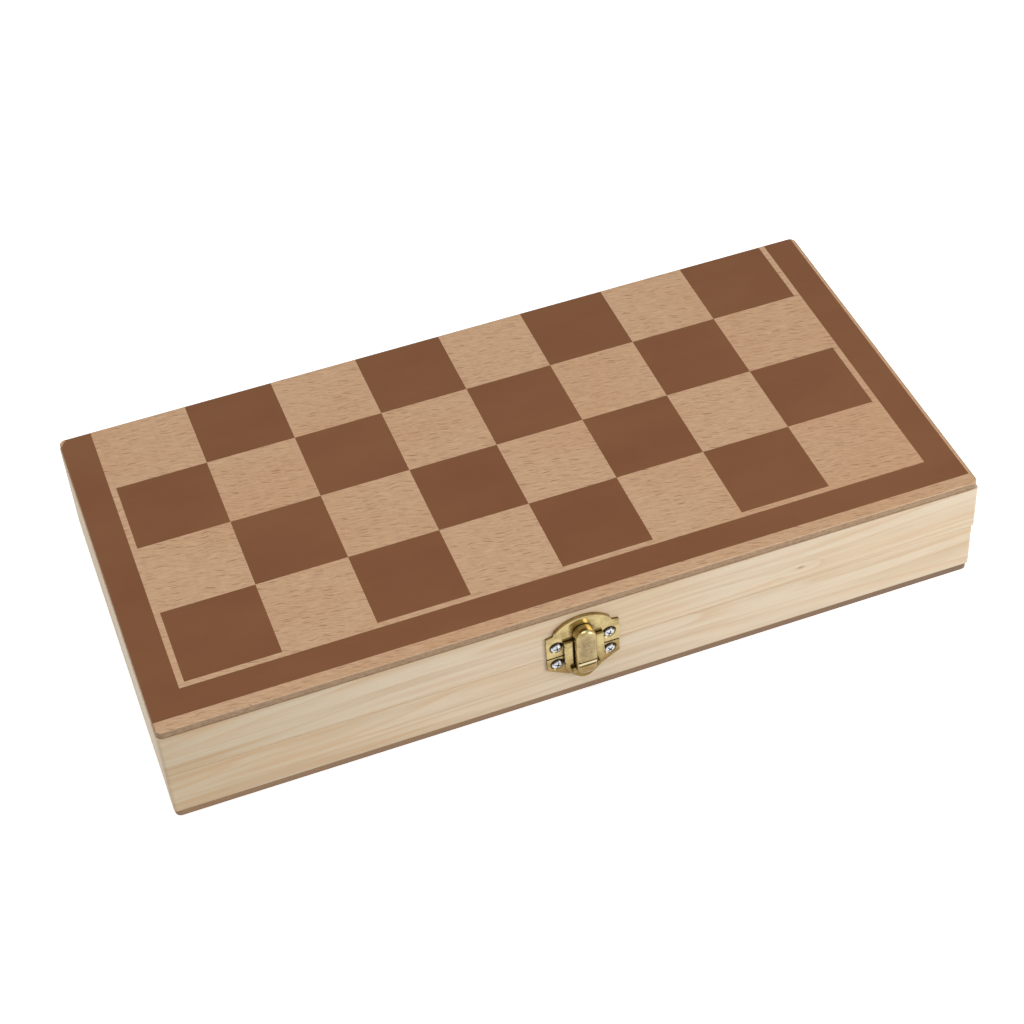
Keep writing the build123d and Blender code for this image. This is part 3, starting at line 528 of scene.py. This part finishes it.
# Turned maple with a satin lacquer. The men lie along Y, and so does their grain.
def makeTurnedMaterial(name, pale, dark, seed):
    material, tree, shader, where = startMaterial(name)
    along = placed(tree, where, turn=(0, 0, pi / 2))
    grain = useGroup(tree, growthRings, {
        "Vector": along, "Ring Scale": maple["ringScale"], "Stretch": maple["stretch"],
        "Waver": maple["waver"], "Seed": seed})
    ringed = between(tree, grain["Rings"], 0.3, 1.0, 0.0, maple["ringWeight"])
    fibred = between(tree, grain["Fibre"], 0.5, 0.8, 0.0, maple["fibreWeight"])
    colour = blendColour(tree, fibred, blendColour(tree, ringed, pale, dark), dark)
    tree.links.new(colour, shader.inputs["Base Color"])
    tree.links.new(between(tree, grain["Fibre"], 0.3, 0.8, 0.3, 0.42), shader.inputs["Roughness"])
    shader.inputs["Coat Weight"].default_value = maple["coat"]
    shader.inputs["Coat Roughness"].default_value = maple["coatRoughness"]
    roughen(tree, shader, grain["Fibre"], maple["relief"])
    return material


materials = {
    "upper_board_face": makeBoardMaterial("printedBeechUpper", 1.0, 0.31, srgb(206, 178, 148)),
    "lower_board_face": makeBoardMaterial("printedBeechLower", 0.0, 0.87, srgb(116, 92, 72)),
    "core": makeCoreMaterial(),
    "brass": makePlatedMaterial(
        "claspBrass", srgb(188, 170, 122), srgb(122, 98, 54), 0.13, addPlateMarks),
    "latch_lever": makePlatedMaterial(
        "leverBrass", srgb(182, 164, 118), srgb(128, 104, 62), 0.15, addLeverDullingAndCreaseLight),
    "hingeBrass": makePlatedMaterial("hingeBrass", srgb(208, 184, 122), srgb(168, 134, 76), 0.28),
    "nickel": makePlatedMaterial(
        "nickelScrew", srgb(206, 208, 212), srgb(160, 162, 168), 0.16, addDimples),
    "steel": makePlatedMaterial("pinSteel", srgb(190, 182, 160), srgb(150, 140, 118), 0.25),
    "light": makeTurnedMaterial("lightMaple", srgb(226, 196, 150), srgb(200, 160, 108), 0.4),
    "dark": makeTurnedMaterial("darkStainedMaple", srgb(98, 58, 36), srgb(64, 36, 22), 0.9),
}

# Each rail's turn of the grain, where its knot is, and how far its left end is darkened
grainAlongX = (0, radians(1.5), 0)
grainAlongY = (0, 0, pi / 2)
rails = {
    "front": (grainAlongX, (79 * mm, -74.7 * mm, 27 * mm), 0.9),
    "back": (grainAlongX, (-64 * mm, 74.7 * mm, 12 * mm), 0.0),
    "left": (grainAlongY, (-145 * mm, 21 * mm, 31 * mm), 0.0),
    "right": (grainAlongY, (145 * mm, -38 * mm, 9 * mm), 0.0),
}
for half, seed in (("lower", 0.13), ("upper", 0.61)):
    for index, (side, (turn, knot, endWeight)) in enumerate(rails.items()):
        materials[f"{half}_{side}_rail"] = makePineMaterial(
            "pine" + half.title() + side.title(), turn, seed + 0.37 * index, knot, endWeight)


def materialFor(node):
    if node in materials:
        return materials[node]
    if node.endswith("_core"):
        return materials["core"]
    if node in ("keeper_plate", "latch_base_plate", "latch_yoke", "latch_pin"):
        return materials["brass"]
    if node.endswith("_leaf") or node.endswith("hinge_screws"):
        return materials["hingeBrass"]
    if node.endswith("_pin"):
        return materials["steel"]
    if node.endswith("_screws"):
        return materials["nickel"]
    return materials[node.split("_")[0]]  # the chessmen, light or dark


for name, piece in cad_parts.items():
    for slot in piece.material_slots:
        slot.material = materialFor(name)
print("materials laid on")


# Stage, light and camera

stage = {
    "size": 6.0, "drop": 0.2 * mm, "colour": (0.86, 0.86, 0.86, 1), "roughness": 0.9, "specular": 0.1,
    "lift": 0.6, "world": 0.48,
}


# 1 for the rays that show the background itself, in the camera, in metal or in glass
def seenDirectly(tree):
    light = addNode(tree, "LightPath").outputs
    return sums(tree, "MAXIMUM", light["Is Camera Ray"],
                sums(tree, "MAXIMUM", light["Is Glossy Ray"], light["Is Transmission Ray"]))


def makeFloor():
    mesh = bpy.data.meshes.new("floor")
    shape = bmesh.new()
    bmesh.ops.create_grid(shape, x_segments=1, y_segments=1, size=stage["size"] / 2)
    bmesh.ops.translate(shape, verts=shape.verts, vec=(0, 0, -stage["drop"]))
    shape.to_mesh(mesh)
    shape.free()
    floor = bpy.data.objects.new("floor", mesh)
    bpy.context.scene.collection.objects.link(floor)
    material, tree, shader, where = startMaterial("paleFloor")
    shader.inputs["Base Color"].default_value = stage["colour"]
    shader.inputs["Roughness"].default_value = stage["roughness"]
    shader.inputs["Specular IOR Level"].default_value = stage["specular"]
    shader.inputs["Emission Color"].default_value = (1, 1, 1, 1)
    tree.links.new(product(tree, seenDirectly(tree), stage["lift"]), shader.inputs["Emission Strength"])
    mesh.materials.append(material)


def makeWorld():
    world = bpy.data.worlds.new("studio")
    bpy.context.scene.world = world
    world.use_nodes = True
    tree = world.node_tree
    tree.nodes.clear()
    strength = between(tree, seenDirectly(tree), 0, 1, stage["world"], 1)
    dome = addNode(tree, "Background", inputs={"Color": (1, 1, 1, 1), "Strength": strength})
    end = tree.nodes.new("ShaderNodeOutputWorld")
    tree.links.new(dome.outputs[0], end.inputs[0])


lamps = {
    "key": {"place": (0.52, -0.54, 0.2), "aim": (0.1, -0.06, 0.02), "size": 0.45, "power": 2.4},
    "top": {"place": (-0.3, -0.08, 1.45), "aim": (0, 0, 0.02), "size": 1.0, "power": 8.5},
}


def makeLamp(name, place, aim, size, power):
    data = bpy.data.lights.new(name, "AREA")
    data.shape = "DISK"
    data.size = size
    data.energy = power
    lamp = bpy.data.objects.new(name, data)
    lamp.location = place
    lamp.rotation_euler = (Vector(aim) - Vector(place)).to_track_quat("-Z", "Y").to_euler()
    bpy.context.scene.collection.objects.link(lamp)


makeFloor()
makeWorld()
for name, lamp in lamps.items():
    makeLamp(name, **lamp)

# Right and up are the picture's own axes, in the object's frame
view = {
    "place": (-0.1684, -0.5602, 0.5862), "right": (0.9379, -0.3421, -0.0578),
    "up": (0.2783, 0.6421, 0.7143), "lens": 79.96, "sensor": 36.0, "nearest": 0.01,
}


def makeCamera():
    data = bpy.data.cameras.new("camera")
    data.sensor_width = view["sensor"]
    data.lens = view["lens"]
    data.clip_start = view["nearest"]
    camera = bpy.data.objects.new("camera", data)
    right = Vector(view["right"]).normalized()
    up = Vector(view["up"])
    up = (up - up.dot(right) * right).normalized()
    back = right.cross(up)
    turn = Matrix((right, up, back)).transposed().to_4x4()
    camera.matrix_world = Matrix.Translation(view["place"]) @ turn
    bpy.context.scene.collection.objects.link(camera)
    bpy.context.scene.camera = camera


makeCamera()
bpy.context.scene.view_settings.view_transform = "Standard"
print("stage, light and camera set")
